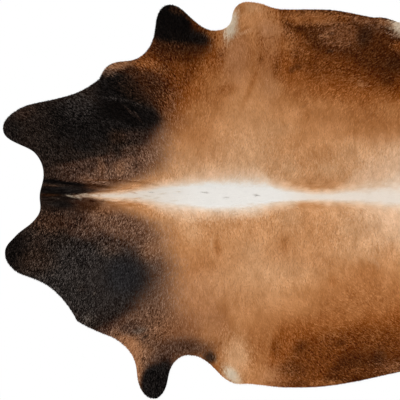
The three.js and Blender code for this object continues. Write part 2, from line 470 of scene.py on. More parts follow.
SIDE_MARKS = [
    # right throat and shoulder
    ("grizzle", -0.97, 0.125, 0.05, 0.04, 0.2),
    ("black", -0.79, 0.345, 0.25, 0.09, 0.95, 0.5, -3),
    ("black", -0.61, 0.395, 0.12, 0.05, 1.0, 0.5, -14),
    ("black", -0.67, 0.49, 0.1, 0.09, 0.9, 0.45, -15),
    ("jet", -0.66, 0.43, 0.08, 0.05, 0.6, 0.8, -30),
    ("jet", -0.62, 0.455, 0.07, 0.03, 0.7, 0.8, -20),
    ("jet", -0.66, 0.505, 0.055, 0.035, 0.55, 0.9, -10),
    ("jet", -0.945, 0.35, 0.08, 0.045, 0.6, 0.9, 12),
    ("black", -0.99, 0.25, 0.09, 0.055, 0.4),
    ("grizzle", -0.59, 0.283, 0.055, 0.028, 0.55),
    ("sable", -0.67, 0.275, 0.035, 0.03, 0.4),
    ("charcoal", -0.855, 0.42, 0.055, 0.055, 0.7, 0.8),
    ("black", -0.83, 0.235, 0.055, 0.022, 0.75, 0.6, -8),
    ("soot", -1.1, 0.33, 0.12, 0.12, 0.7, 0.6, 20),
    ("grizzle", -1.11, 0.385, 0.06, 0.025, 0.4, 0.7, 28),
    ("sable", -0.55, 0.505, 0.09, 0.06, 0.55, 0.9, -30),
    ("black", -1.17, 0.31, 0.05, 0.07, 0.6, 0.8),
    ("soot", -0.99, 0.11, 0.05, 0.06, 0.45),
    ("grizzle", -0.795, 0.135, 0.012, 0.04, 0.6, 0.9, 8),
    ("grizzle", -0.705, 0.175, 0.014, 0.045, 0.6, 0.9, -6),
    ("fawn", -0.745, 0.15, 0.014, 0.03, 0.3, 0.9, 10),
    ("fawn", -0.655, 0.13, 0.018, 0.03, 0.3),
    ("soot", -0.665, 0.215, 0.014, 0.03, 0.6, 0.9, -10),
    ("soot", -0.595, 0.21, 0.025, 0.016, 0.6),
    ("grizzle", -0.585, 0.15, 0.016, 0.03, 0.4, 0.9, 6),
    ("jet", -0.64, 0.385, 0.09, 0.045, 0.8, 0.8, -20),
    ("walnut", -0.7, 0.595, 0.045, 0.028, 0.75, 0.6, 30),
    ("fawn", -0.64, 0.612, 0.08, 0.016, 0.65, 0.6, 6),
    ("russet", -0.54, 0.625, 0.06, 0.025, 0.6, 0.7, 35),
    ("sable", -0.6, 0.59, 0.03, 0.018, 0.8, 0.8, -20),
    ("umber", -0.455, 0.592, 0.035, 0.02, 0.6),
    ("russet", -0.41, 0.405, 0.05, 0.09, 0.45, 0.9, 10),
    ("chestnut", -0.515, 0.61, 0.05, 0.02, 0.45, 0.9, -10),
    # the throat's soft folds, in thin lines: the black ones painted shade, the grizzle and charcoal
    # ones painted sheen
    ("black", -0.73, 0.528, 0.028, 0.0045, 0.9, 0.5, -30),
    ("black", -0.685, 0.483, 0.035, 0.0045, 0.9, 0.5, -14),
    ("grizzle", -0.61, 0.395, 0.035, 0.0045, 0.35, 0.6, -42),
    ("grizzle", -0.575, 0.372, 0.03, 0.004, 0.35, 0.6, -56),
    ("charcoal", -0.6, 0.437, 0.075, 0.006, 0.45, 0.8, -22),
    ("charcoal", -0.7, 0.457, 0.05, 0.006, 0.7, 0.8, -8),
    ("charcoal", -0.68, 0.345, 0.07, 0.007, 0.35, 0.8, -12),
    ("walnut", -0.42, 0.41, 0.03, 0.02, 0.3, 0.8, 40),
    ("fawn", -0.385, 0.475, 0.02, 0.012, 0.3, 0.7, 60),
    # right foreleg
    ("jet", -0.43, 0.83, 0.105, 0.125, 1.0, 0.22),
    ("sable", -0.37, 0.718, 0.12, 0.038, 0.9, 0.6, -6),
    ("jet", -0.4, 0.757, 0.1, 0.052, 0.95, 0.5, -10),
    ("black", -0.292, 0.735, 0.048, 0.028, 0.8, 0.6, -12),
    ("brown", -0.32, 0.815, 0.09, 0.008, 0.45, 0.7, -40),
    ("umber", -0.405, 0.865, 0.03, 0.014, 0.35, 0.6, -25),
    ("umber", -0.335, 0.632, 0.016, 0.01, 0.7, 0.6),
    ("umber", -0.42, 0.668, 0.11, 0.035, 0.95, 0.8, -6),
    ("sable", -0.4, 0.692, 0.12, 0.022, 0.7, 0.8, -6),
    # right armpit and brisket, a few spots on the back, and a line of painted shade along a soft
    # crease in the flank
    ("brown", -0.185, 0.665, 0.035, 0.026, 0.5, 0.8, 10),
    ("russet", -0.155, 0.5, 0.045, 0.026, 0.55, 0.8, 10),
    ("russet", -0.05, 0.52, 0.11, 0.013, 0.4, 0.8, 68),
    ("tan", -0.19, 0.71, 0.035, 0.03, 0.3),
    ("tan", -0.24, 0.55, 0.06, 0.06, 0.25),
    ("fawn", -0.12, 0.66, 0.06, 0.12, 0.62, 0.95),
    ("tan", 0.04, 0.77, 0.05, 0.04, 0.35),
    ("tan", 0.6, 0.4, 0.04, 0.04, 0.35),
    ("gold", 0.04, 0.5, 0.05, 0.04, 0.3),
    ("walnut", -0.6, 0.215, 0.04, 0.025, 0.45),
    ("tan", -0.03, 0.825, 0.1, 0.07, 0.75, 0.7, -8),
    ("gold", -0.05, 0.885, 0.06, 0.03, 0.6),
    ("tan", 0.04, 0.775, 0.05, 0.035, 0.5),
    ("tan", -0.19, 0.765, 0.05, 0.025, 0.5),
    ("fawn", 0.05, 0.765, 0.07, 0.035, 0.6, 0.8, -10),
    ("chestnut", 0.08, 0.705, 0.1, 0.04, 0.7),
    ("fawn", 0.03, 0.66, 0.045, 0.18, 0.4),
    ("russet", -0.1, 0.875, 0.022, 0.022, 0.45, 0.7),
    ("smoke", -0.143, 0.8, 0.07, 0.026, 0.95, 0.8, 76),
    ("smoke", -0.138, 0.768, 0.03, 0.022, 0.55),
    ("russet", -0.085, 0.775, 0.035, 0.006, 0.5, 0.7, 30),
    ("buff", -0.08, 0.763, 0.03, 0.004, 0.6, 0.7, 25),
    # right belly and flank
    ("brown", -0.005, 0.635, 0.014, 0.022, 0.5, 0.8),
    ("brown", 0.065, 0.6, 0.016, 0.045, 0.55, 0.8, -12),
    ("umber", 0.14, 0.59, 0.018, 0.013, 0.6, 0.7, 60),
    ("umber", 0.168, 0.602, 0.018, 0.011, 0.65, 0.7, -30),
    ("umber", 0.255, 0.72, 0.06, 0.04, 0.25, 0.8, -15),
    ("umber", 0.125, 0.8, 0.022, 0.007, 0.8, 0.6, -10),
    ("umber", 0.19, 0.778, 0.05, 0.017, 0.95, 0.55, -6),
    ("brown", 0.105, 0.848, 0.035, 0.016, 0.9, 0.6, -50),
    ("chestnut", 0.24, 0.828, 0.13, 0.032, 0.8, 0.6),
    ("hazel", 0.37, 0.755, 0.09, 0.06, 0.55, 0.8, -5),
    ("brown", 0.375, 0.828, 0.04, 0.018, 0.65, 0.6, -8),
    ("fawn", 0.29, 0.744, 0.02, 0.007, 0.6, 0.6, -20),
    ("fawn", 0.312, 0.712, 0.014, 0.004, 0.5, 0.6),
    ("grizzle", 0.325, 0.757, 0.012, 0.006, 0.5, 0.6),
    ("soot", 0.315, 0.675, 0.015, 0.006, 0.5, 0.6, -10),
    ("sable", 0.478, 0.745, 0.034, 0.045, 0.9, 0.7, -10),
    ("sable", 0.44, 0.795, 0.026, 0.006, 0.7, 0.6, -50),
    ("hazel", 0.47, 0.818, 0.055, 0.018, 0.55, 0.6, -10),
    ("walnut", 0.53, 0.785, 0.045, 0.02, 0.4, 0.8, -15),
    ("umber", 0.535, 0.7, 0.045, 0.035, 0.45),
    ("sable", 0.58, 0.79, 0.018, 0.014, 0.6, 0.7, -30),
    ("smoke", 0.655, 0.79, 0.064, 0.044, 0.97, 0.7, -22),
    ("walnut", 0.61, 0.752, 0.025, 0.016, 0.5, 0.8, -20),
    ("fawn", 0.57, 0.806, 0.035, 0.013, 0.55, 0.8, -18),
    ("russet", 0.64, 0.7, 0.035, 0.02, 0.65, 0.8),
    ("umber", 0.58, 0.545, 0.028, 0.026, 0.7, 0.8, -20),
    ("sable", 0.62, 0.62, 0.05, 0.03, 0.45),
    ("fawn", 0.46, 0.525, 0.024, 0.012, 0.5, 0.8, -15),
    # left cheek and throat, greyer than the right side: partly a painted sheen on the dark hair
    ("charcoal", -0.8, -0.38, 0.28, 0.16, 0.95, 0.5, 6),
    ("slate_sheen", -0.64, -0.37, 0.075, 0.075, 0.9, 0.7, -10),
    ("jet", -1.16, -0.25, 0.055, 0.075, 0.8, 0.8),
    ("grizzle", -1.035, -0.2, 0.03, 0.03, 0.3),
    ("grizzle", -0.99, -0.105, 0.07, 0.05, 0.6, 0.8),
    ("soot", -0.95, -0.06, 0.1, 0.03, 0.4),
    ("bay", -0.98, -0.115, 0.07, 0.045, 0.35),
    ("bay", -1.04, -0.3, 0.07, 0.05, 0.25),
    ("walnut", -0.7, -0.24, 0.05, 0.03, 0.35),
    ("walnut", -0.8, -0.15, 0.04, 0.03, 0.35),
    ("sable", -0.81, -0.045, 0.05, 0.022, 0.6, 0.9, 6),
    ("chestnut", -0.7, -0.05, 0.065, 0.026, 0.35, 0.9, 8),
    ("black", -0.925, -0.035, 0.055, 0.016, 0.7, 0.7, -4),
    ("ash", -0.805, -0.572, 0.026, 0.022, 0.45, 0.8),
    ("soot", -0.762, -0.582, 0.038, 0.012, 0.7, 0.7, 68),
    ("soot", -0.835, -0.425, 0.018, 0.014, 0.5, 0.7),
    ("ash", -0.775, -0.445, 0.012, 0.005, 0.7, 0.6, 45),
    # left shoulder
    ("grizzle", -0.49, -0.625, 0.06, 0.04, 0.3, 0.9, -20),
    ("fawn", -0.52, -0.708, 0.04, 0.02, 0.35, 0.9, -20),
    ("hazel", -0.38, -0.64, 0.12, 0.085, 0.8),
    ("fawn", -0.605, -0.685, 0.075, 0.03, 0.85, 0.9, -34),
    ("fawn", -0.59, -0.755, 0.11, 0.032, 0.85, 0.8, -80),
    ("grizzle", -0.61, -0.605, 0.045, 0.032, 0.75, 0.8),
    ("ash", -0.565, -0.62, 0.03, 0.012, 0.5, 0.7, 10),
    ("black", -0.54, -0.647, 0.016, 0.004, 0.85, 0.5, 22),
    ("grizzle", -0.36, -0.702, 0.13, 0.045, 0.8, 0.85),
    ("chestnut", -0.2, -0.755, 0.03, 0.05, 0.5, 0.8),
    ("soot", -0.24, -0.745, 0.028, 0.026, 0.8, 0.7, -20),
    # left foreleg
    ("grizzle", -0.45, -0.755, 0.05, 0.036, 0.9, 0.8),
    ("black", -0.487, -0.87, 0.072, 0.095, 1.0, 0.25),
    ("black", -0.445, -0.795, 0.03, 0.035, 0.85, 0.6),
    # left brisket and belly
    ("gold", -0.12, -0.75, 0.06, 0.1, 0.9, 0.8),
    ("smoke", -0.134, -0.828, 0.052, 0.026, 0.95, 0.7, -45),
    ("brown", 0.065, -0.7, 0.026, 0.038, 0.6),
    ("umber", 0.18, -0.695, 0.032, 0.024, 0.6, 0.9, 40),
    ("umber", 0.365, -0.678, 0.024, 0.012, 0.65, 0.8, 20),
    ("sable", 0.545, -0.745, 0.032, 0.035, 0.5, 0.8),
    ("brown", 0.44, -0.815, 0.12, 0.025, 0.45, 0.8, 8),
    ("chestnut", 0.09, -0.815, 0.06, 0.05, 0.75),
    ("fawn", 0.035, -0.838, 0.05, 0.045, 0.7),
    ("tan", -0.04, -0.83, 0.065, 0.05, 0.6),
    ("chestnut", 0.31, -0.862, 0.07, 0.014, 0.6, 0.8, 4),
    ("umber", 0.14, -0.8, 0.065, 0.035, 0.55),
    ("tan", -0.24, -0.63, 0.05, 0.05, 0.35),
    ("tan", 0.31, -0.62, 0.05, 0.03, 0.2),
    ("fawn", -0.52, -0.25, 0.04, 0.04, 0.35),
    ("hazel", 0.6, -0.79, 0.06, 0.028, 0.55),
    ("umber", 0.55, -0.705, 0.08, 0.03, 0.25),
    ("umber", 0.16, -0.862, 0.05, 0.01, 0.6, 0.7),
]
STRIPE_MARKS = [
    # the fold down the neck, just right of the spine, its dark lines partly dark hair and partly
    # painted shade, and the wisps where the stripe begins
    ("black", -0.95, 0.03, 0.09, 0.018, 0.95, 0.6, -2),
    ("black", -0.83, 0.028, 0.06, 0.01, 0.5, 0.7, 4),
    ("charcoal", -0.87, 0.041, 0.06, 0.008, 0.7, 0.7, -4),
    ("jet", -0.975, 0.074, 0.06, 0.011, 0.95, 0.5, -5),
    ("jet", -0.88, 0.062, 0.075, 0.008, 0.95, 0.6, -7),
    ("sable", -0.765, 0.052, 0.055, 0.008, 0.75, 0.9, -5),
    ("walnut", -0.975, 0.053, 0.045, 0.004, 0.4, 0.6, -4),
    ("umber", -0.72, 0.077, 0.09, 0.004, 0.6, 0.7, -2),
    ("umber", -0.59, 0.071, 0.075, 0.004, 0.4, 0.8, -4),
    ("umber", -0.985, 0.01, 0.05, 0.006, 0.4, 0.7),
    ("sable", -0.785, -0.018, 0.018, 0.009, 0.8, 0.6),
    ("sable", -0.745, -0.022, 0.02, 0.004, 0.6, 0.6, 38),
    ("smoke", -0.885, 0.003, 0.022, 0.003, 0.75, 0.6, -22),
    ("smoke", -0.855, 0.0, 0.02, 0.003, 0.75, 0.6, -28),
    ("smoke", -0.835, 0.011, 0.026, 0.004, 0.8, 0.6, 10),
    ("smoke", -0.805, 0.007, 0.024, 0.004, 0.8, 0.6, -20),
    # dark hairs among the wisps, and the specks in the stripe
    ("walnut", -0.868, 0.008, 0.014, 0.003, 0.8, 0.6, -32),
    ("bay", -0.842, 0.006, 0.012, 0.003, 0.75, 0.6, -26),
    ("walnut", -0.818, 0.01, 0.014, 0.0025, 0.7, 0.6, -22),
    ("fawn", -0.79, 0.002, 0.014, 0.0025, 0.6, 0.6, -24),
    ("fawn", -0.755, 0.008, 0.016, 0.0022, 0.5, 0.6, -18),
    ("ash", -0.262, 0.021, 0.016, 0.0025, 0.45, 0.6, -6),
    ("ash", -0.162, -0.002, 0.01, 0.0025, 0.4, 0.6),
    ("ash", -0.025, 0.008, 0.012, 0.003, 0.5, 0.6, -8),
    ("smoke", -0.53, 0.004, 0.018, 0.003, 0.6, 0.6, -10),
    ("smoke", -0.46, 0.015, 0.02, 0.003, 0.5, 0.6, 6),
    ("gold", -0.575, -0.006, 0.024, 0.003, 0.5, 0.6, 8),
    ("fawn", -0.595, 0.019, 0.016, 0.0025, 0.5, 0.6, -12),
    ("smoke", -0.487, -0.004, 0.014, 0.003, 0.5, 0.6, 14),
    ("ash", -0.512, 0.022, 0.01, 0.0022, 0.4, 0.6, -8),
    ("smoke", -0.385, 0.024, 0.012, 0.0025, 0.6, 0.6, -4),
    ("smoke", -0.405, -0.018, 0.018, 0.003, 0.4, 0.6, 5),
    ("gold", -0.665, 0.012, 0.018, 0.0022, 0.5, 0.6, 10),
]

# The stripe down the spine: where its middle runs, how far its cream core reaches, and how
# far the peach and then the buff reach past it on the left and on the right
STRIPE = [
    # x, middle, cream, left peach, right peach, left buff, right buff
    (-0.92, 0.006, 0.001, 0.003, 0.003, 0.006, 0.006),
    (-0.84, 0.005, 0.002, 0.005, 0.005, 0.009, 0.009),
    (-0.78, 0.007, 0.004, 0.007, 0.008, 0.012, 0.013),
    (-0.7, 0.005, 0.007, 0.016, 0.014, 0.026, 0.021),
    (-0.63, 0.007, 0.009, 0.02, 0.018, 0.03, 0.025),
    (-0.57, 0.008, 0.018, 0.029, 0.027, 0.037, 0.038),
    (-0.52, 0.009, 0.024, 0.04, 0.038, 0.055, 0.055),
    (-0.46, 0.009, 0.038, 0.065, 0.051, 0.088, 0.072),
    (-0.4, 0.007, 0.045, 0.073, 0.064, 0.105, 0.082),
    (-0.34, 0.007, 0.052, 0.078, 0.077, 0.12, 0.1),
    (-0.25, 0.007, 0.062, 0.08, 0.081, 0.113, 0.12),
    (-0.12, 0.008, 0.062, 0.088, 0.094, 0.111, 0.128),
    (-0.03, 0.01, 0.055, 0.089, 0.092, 0.109, 0.132),
    (0.02, 0.013, 0.049, 0.069, 0.08, 0.102, 0.1),
    (0.05, 0.01, 0.037, 0.056, 0.056, 0.08, 0.082),
    (0.1, 0.006, 0.027, 0.044, 0.044, 0.068, 0.075),
    (0.14, 0.004, 0.022, 0.036, 0.036, 0.058, 0.05),
    (0.18, 0.002, 0.018, 0.023, 0.029, 0.031, 0.044),
    (0.24, 0.001, 0.013, 0.022, 0.023, 0.031, 0.034),
    (0.33, 0.0, 0.015, 0.025, 0.027, 0.044, 0.04),
    (0.38, 0.002, 0.02, 0.029, 0.035, 0.038, 0.056),
    (0.44, 0.004, 0.023, 0.038, 0.042, 0.055, 0.11),
    (0.49, 0.004, 0.028, 0.044, 0.064, 0.066, 0.15),
    (0.54, 0.005, 0.034, 0.056, 0.064, 0.09, 0.15),
    (0.62, 0.004, 0.041, 0.064, 0.102, 0.13, 0.21),
    (0.8, 0.004, 0.044, 0.07, 0.09, 0.11, 0.13),
    (1.0, 0.002, 0.043, 0.065, 0.07, 0.09, 0.09),
    (1.15, 0.0, 0.038, 0.055, 0.055, 0.07, 0.07),
]
SCATTER = 0.3            # how far single hairs stray over a marking's edge


def read_off(rows, i, at):
    """Column i of a table, read between its rows by their first column."""
    columns = np.array(rows).T
    return np.interp(at, columns[0], columns[i])


def beyond(distance, line, soft, jitter, crisp=0.62):
    """0 short of a line and 1 past it. Jitter scatters the hairs to either side of the line."""
    return smooth(0.5 + crisp * ((distance - line) / soft + SCATTER * jitter))


def lay(colour, shade, weight):
    colour += weight[..., None] * (np.array(SHADES[shade]) - colour)


def lay_ovals(colour, x, y, markings, jitter):
    for oval in (Oval(*row) for row in markings):
        c, s = math.cos(math.radians(oval.turn)), math.sin(math.radians(oval.turn))
        u = ((x - oval.x) * c + (y - oval.y) * s) / oval.long
        v = ((y - oval.y) * c - (x - oval.x) * s) / oval.wide
        weight = beyond(1.0, np.hypot(u, v), oval.soft, jitter)
        lay(colour, oval.shade, oval.strength * weight)


def lay_darker_sides(colour, x, y, jitter):
    away = np.abs(y)
    for i, shade in enumerate(DARKER):
        line = np.where(y > 0, read_off(RIGHT_SIDE, i + 1, x), read_off(LEFT_SIDE, i + 1, x))
        lay(colour, shade, beyond(away, line, DARKER_SOFT[i], jitter))


def lay_cape(colour, x, y, jitter):
    for i, shade in enumerate(CAPE):
        line = read_off(CAPE_EDGE, i + 1, y)
        lay(colour, shade, beyond(line, x, CAPE_SOFT[i], CAPE_SCATTER[i] * jitter, 0.8))


def lay_stripe(colour, x, y, jitter):
    middle, cream, left_peach, right_peach, left_buff, right_buff = (
        read_off(STRIPE, i, x) for i in range(1, 7)
    )
    right = y > middle
    off = np.abs(y - middle)
    peach = np.where(right, right_peach, left_peach)
    buff = np.where(right, right_buff, left_buff)
    present = ramp(x, -0.95, -0.66)
    fading = 1 - 0.34 * ramp(x, 0.06, 0.24) - 0.4 * ramp(x, -0.25, -0.7)
    stray = 0.5 * jitter
    lay(colour, "buff", 0.85 * present * beyond(buff, off, 1.3 * (buff - peach), stray, 1.0))
    lay(colour, "peach", present * beyond(peach, off, 0.6 * (buff - cream), stray, 1.0))
    lay(colour, "cream", fading * present * beyond(cream, off, 1.4 * (peach - cream), stray, 1.0))


def palest(colour):
    """1 where the coat is cream, 0 where it is tan or darker."""
    return ramp(colour[..., 1], 165.0, 205.0)


def paint(x, y, jitter):
    """The coat's colour at each place, in screen values."""
    colour = np.empty(x.shape + (3,))
    colour[...] = SHADES[GROUND]
    lay_ovals(colour, x, y, BACK, jitter)
    lay_darker_sides(colour, x, y, jitter)
    lay_ovals(colour, x, y, BACK_SPOTS, jitter)
    lay_cape(colour, x, y, jitter)
    lay_ovals(colour, x, y, SIDE_MARKS, jitter)
    lay_stripe(colour, x, y, jitter)
    lay_ovals(colour, x, y, STRIPE_MARKS, 0.5 * jitter)
    return colour


def to_light(screen):
    """Screen values from 0 to 255 as the light they stand for, from 0 to 1."""
    share = np.clip(screen / 255.0, 0.0, 1.0)
    return np.where(share <= 0.04045, share / 12.92, ((share + 0.055) / 1.055) ** 2.4)


# Where the hair lies along the spine instead of away from it: the ends of a line, and how wide
PARTINGS = [
    (-1.06, 0.044, -0.74, 0.044, 0.033),
    (-0.84, 0.08, -0.5, 0.07, 0.009),
]

# How far the hair leans tailwards for each step outwards, and how much less it does forwards
LEAN = 0.05
NECK_LEAN = 0.33
SHOULDER_LEAN = 1.6
REAR_LEAN = 1.5
UNEVEN_LEAN = 0.35
OUTWARD_FROM = 0.04      # about how far from the spine the hair has turned outwards


def comb(x, y):
    """The way the hair lies, as a direction across the rug."""
    neck = ramp(x, -0.3, -0.65)
    rear = ramp(x, -0.1, 0.4)
    belly = ramp(np.abs(y), 0.25, 0.65)
    shoulder = neck * ramp(y, 0.26, 0.42)
    lean = LEAN - NECK_LEAN * neck - SHOULDER_LEAN * shoulder + REAR_LEAN * rear * belly
    lean = lean + UNEVEN_LEAN * cloud(x, y, 0.15, LEANING)
    outward = np.tanh(y / OUTWARD_FROM)
    spine_width = 0.03 + 0.028 * ramp(x, -0.8, -0.5)
    spine = np.exp(-(((y - 0.005) / spine_width) ** 2))
    for ax, ay, bx, by, wide in PARTINGS:
        spine = np.maximum(spine, np.exp(-((off_line(x, y, ax, ay, bx, by) / wide) ** 4)))
    dx = lean * (1 - spine) + spine
    dy = outward * (1 - spine)
    length = np.hypot(dx, dy) + 1e-9
    return dx / length, dy / length


def streaks(chart, seed, steps):
    """Noise drawn out along the lie of the hair, about -2 to 2."""
    grain = dice(seed).normal(size=chart.x.shape)
    total = grain.copy()
    for way in (-1, 1):
        x, y = chart.x.copy(), chart.y.copy()
        for _ in range(steps):
            dx, dy = comb(x, y)
            x = x + way * dx * chart.cell
            y = y + way * dy * chart.cell
            total = total + chart.read(grain, x, y)
    return total / total.std()


# ---- skin ----

SKIN_THICKNESS = 0.0025
SKIN_GRID = 0.014
EDGE_CLEARANCE = 0.007   # no grid point nearer the cut edge than this

# Creases in the skin: their two ends, half their width and how high they stand
CREASES = [
    # x, y, x, y, wide, high
    (-1.03, 0.075, -0.7, 0.07, 0.014, 0.003),
    (-1.03, 0.025, -0.72, 0.022, 0.012, 0.0026),
    (-0.76, 0.56, -0.66, 0.48, 0.018, 0.003),
    (-0.66, 0.48, -0.58, 0.38, 0.022, 0.0022),
    (-0.8, -0.6, -0.74, -0.52, 0.018, 0.003),
]
WAVE = 0.0012            # the slow unevenness of a hide that was once round a body


def skin_height(x, y):
    """How high the underside of the skin stands off the floor."""
    height = WAVE * (cloud(x, y, 0.3, WAVES) + 0.6 * cloud(x, y, 0.13, RIPPLES))
    for ax, ay, bx, by, wide, high in CREASES:
        height = height + high * np.exp(-((off_line(x, y, ax, ay, bx, by) / wide) ** 2))
    return np.maximum(height, 0.0)


def skin_mesh_plan(loop):
    """The hide's outline filled with triangles: their corners' places and the triangles."""
    gx, gy = (places.ravel() for places in even_spread(SKIN_GRID))
    inside = signed_distance(gx, gy, loop) > EDGE_CLEARANCE
    points = [Vector(p) for p in loop] + [Vector(p) for p in zip(gx[inside], gy[inside])]
    count = len(loop)
    rim = [(i, (i + 1) % count) for i in range(count)]
    flat = delaunay_2d_cdt(points, rim, [list(range(count))], 1, 1e-7)
    places = np.array([tuple(p) for p in flat[0]])
    faces = []
    for face in flat[2]:
        (ax, ay), (bx, by), (cx, cy) = places[face]
        turns_left = (bx - ax) * (cy - ay) - (by - ay) * (cx - ax) >= 0
        faces.append(list(face) if turns_left else list(face)[::-1])
    return places, faces


def skin_sheet(loop):
    """The tanned skin: one closed sheet with the hide's cut outline."""
    places, faces = skin_mesh_plan(loop)
    under = skin_height(places[:, 0], places[:, 1])
    over = under + SKIN_THICKNESS
    total = len(places)
    vertices = np.vstack([
        np.column_stack([places, under]),
        np.column_stack([places, over]),
    ])
    solid = []
    for face in faces:
        solid += [[i + total for i in face], face[::-1]]
    solid += [[a, b, b + total, a + total] for a, b in open_edges(faces)]
    mesh = bpy.data.meshes.new("skin")
    mesh.from_pydata(vertices.tolist(), [], solid)
    add_values(mesh, "hair_side", np.repeat([0.0, 1.0], total))
    for polygon in mesh.polygons:
        polygon.use_smooth = len(polygon.vertices) == 3
    return placed("skin", mesh)


# ---- hair ----

LOCK_SPACING = 0.0034    # on the neck and the bellies
BACK_SHARE = 0.7         # how many of the locks are left on the back
CLUMP_CELL = 0.0018      # the grain of the clumps that neighbouring locks share
LOCK_LENGTH = 0.014
LAYING = {
    "Lock Length": LOCK_LENGTH,
    "Lock Width": 0.0035,
    "Lift": math.radians(9),
    "Lift Spread": math.radians(4),
    "Roll Spread": math.radians(16),
    "Seed": SEED,
}
FINE_LENGTH = 0.8        # how much shorter and narrower the locks are on the neck and the bellies
FINE_WIDTH = 0.66
EDGE_OVERHANG = 0.003    # how far a lock may reach past the cut edge
EDGE_CELL = 0.008        # the coarse chart of how far the edge is
EDGE_BELT = 0.012        # nearer than this it is worked out exactly
EDGE_BARE = 0.0008       # and nearer than this no lock grows
ROOT_DEPTH = 0.0002      # how deep in the skin a lock starts
HEADING_SPREAD = 0.2     # how far single locks turn from the lie of the hair, in radians
THREAD_WIDTH = 0.003     # the stripe's hair is in threads this wide
THREAD_RUN = 8.0         # and this many times as long
HAIR_LOSS = np.array([1.12, 1.08, 1.03])   # makes up for the shade that locks cast on each other
ROOT_PAINTED_SHADE = 0.9         # painted shade: a lock is darker at its root, under the locks over it, except where the coat is palest
# painted light: a lock's tip is a little lighter
TIP_PAINTED_LIGHT = 1.04
PALE_LOSS = 0.09         # how much less shade the palest locks make up for
PALE_BREADTH = 0.55      # how much broader they are
BANDS = ["hair_neck", "hair_shoulders", "hair_back", "hair_loins", "hair_rump"]


def on_neck(x):
    """1 on the neck and its shoulders, 0 behind them."""
    return ramp(x, -0.3, -0.5)


def fine_hair(x, y):
    """1 on the neck and the bellies, 0 on the back."""
    return np.maximum(on_neck(x), ramp(np.abs(y), 0.42, 0.56))


def along_spine(y):
    """1 on the stripe, where the hair lies along the spine, 0 away from it."""
    return ramp(np.abs(y - 0.006), 0.08, 0.04)


def lock_roots(loop):
    """Where the locks grow: an uneven triangular spread inside the cut edge."""
    draw = dice(ROOTS)
    x, y = even_spread(LOCK_SPACING)
    x = x + draw.uniform(-0.5, 0.5, x.shape) * LOCK_SPACING
    y = y + draw.uniform(-0.5, 0.5, y.shape) * LOCK_SPACING
    coarse = Chart(EDGE_CELL)
    field = signed_distance(coarse.x, coarse.y, loop)
    x, y = x.ravel(), y.ravel()
    dense = np.maximum(fine_hair(x, y), along_spine(y))
    keep = draw.uniform(size=len(x)) < BACK_SHARE + (1 - BACK_SHARE) * dense
    x, y = x[keep], y[keep]
    near = coarse.read(field, x, y)
    keep = near > -EDGE_CELL / 2
    x, y, near = x[keep], y[keep], near[keep]
    close = near < EDGE_BELT
    near[close] = signed_distance(x[close], y[close], loop)
    keep = near > EDGE_BARE
    return x[keep], y[keep], near[keep]


def lock_blade():
    """One lock: a tapered blade a unit long and a unit wide, rising and then lying over."""
    outline = [(0.0, 0.3, 0.0), (0.45, 0.5, 0.1)]
    vertices = [(x, side * y, z) for x, y, z in outline for side in (-1, 1)] + [(1.0, 0.0, 0.09)]
    mesh = bpy.data.meshes.new("lock")
    mesh.from_pydata(vertices, [], [(0, 2, 3), (0, 3, 1), (2, 4, 3)])
    add_values(mesh, "along", [v[0] for v in vertices])
    return bpy.data.objects.new("lock", mesh)


def laying_tree(blade, material):
    """Geometry Nodes that lay a lock on every root, by the root's own attributes."""
    group = bpy.data.node_groups.new("lay the locks", "GeometryNodeTree")
    group.interface.new_socket("Roots", in_out="INPUT", socket_type="NodeSocketGeometry")
    for name in LAYING:
        kind = "NodeSocketInt" if name == "Seed" else "NodeSocketFloat"
        group.interface.new_socket(name, in_out="INPUT", socket_type=kind)
    group.interface.new_socket("Coat", in_out="OUTPUT", socket_type="NodeSocketGeometry")
    tree = Tree(group.nodes, group.links)
    given = tree.add("NodeGroupInput")
    roots, length, width, lift, lift_spread, roll_spread, seed = (
        tree.shared(given, name) for name in ["Roots", *LAYING]
    )

    def attribute(name):
        return tree.add("GeometryNodeInputNamedAttribute", {0: name}, data_type="FLOAT")

    def chance(low, high, offset):
        sockets = {2: low, 3: high, 8: seed + offset}
        return tree.add("FunctionNodeRandomValue", sockets, out=1, data_type="FLOAT")

    ruffle = attribute("ruffle")
    pitch = -1.0 * (lift + ruffle * lift_spread * chance(-1.0, 1.0, 1))
    roll = ruffle * roll_spread * chance(-1.0, 1.0, 2)
    turned = tree.add("ShaderNodeCombineXYZ", {0: roll, 1: pitch, 2: attribute("heading")})
    rotation = tree.add("FunctionNodeEulerToRotation", {0: turned})
    reach = length * attribute("reach") * chance(0.75, 1.2, 3)
    broad = width * attribute("breadth") * chance(0.7, 1.25, 4)
    size = tree.add("ShaderNodeCombineXYZ", {0: reach, 1: broad, 2: reach})
    lock = tree.add("GeometryNodeObjectInfo", {0: blade}, out="Geometry")
    sockets = {"Points": roots, "Instance": lock, "Rotation": rotation, "Scale": size}
    laid = tree.add("GeometryNodeInstanceOnPoints", sockets)
    real = tree.add("GeometryNodeRealizeInstances", {0: laid})
    smoothed = tree.add("GeometryNodeSetShadeSmooth", {0: real})
    done = tree.add("GeometryNodeSetMaterial", {0: smoothed, 2: material})
    tree.add("NodeGroupOutput", {"Coat": done})
    return group


def root_cloud(name, columns):
    """Bare points that carry what each lock needs to know."""
    mesh = bpy.data.meshes.new(name)
    places = columns["place"]
    mesh.vertices.add(len(places))
    mesh.vertices.foreach_set("co", places.ravel())
    for key in ("heading", "ruffle", "reach", "breadth"):
        add_values(mesh, key, columns[key])
    for key in ("coat", "coat_tip"):
        add_colours(mesh, key, columns[key])
    return placed(name, mesh)


def flat_map(mesh):
    """A map that looks straight down on the rug, so that neighbouring locks stay neighbours."""
    places = vertex_places(mesh)
    corners = np.empty(len(mesh.loops), dtype=np.int32)
    mesh.loops.foreach_get("vertex_index", corners)
    low, high = places.min(axis=0), places.max(axis=0)
    span = (high - low)[:2].max() * 1.004
    flat = (places[:, :2] - low[:2]) / span + 0.002
    layer = mesh.uv_layers.new(name="OFBake")
    layer.data.foreach_set("uv", flat[corners].ravel())


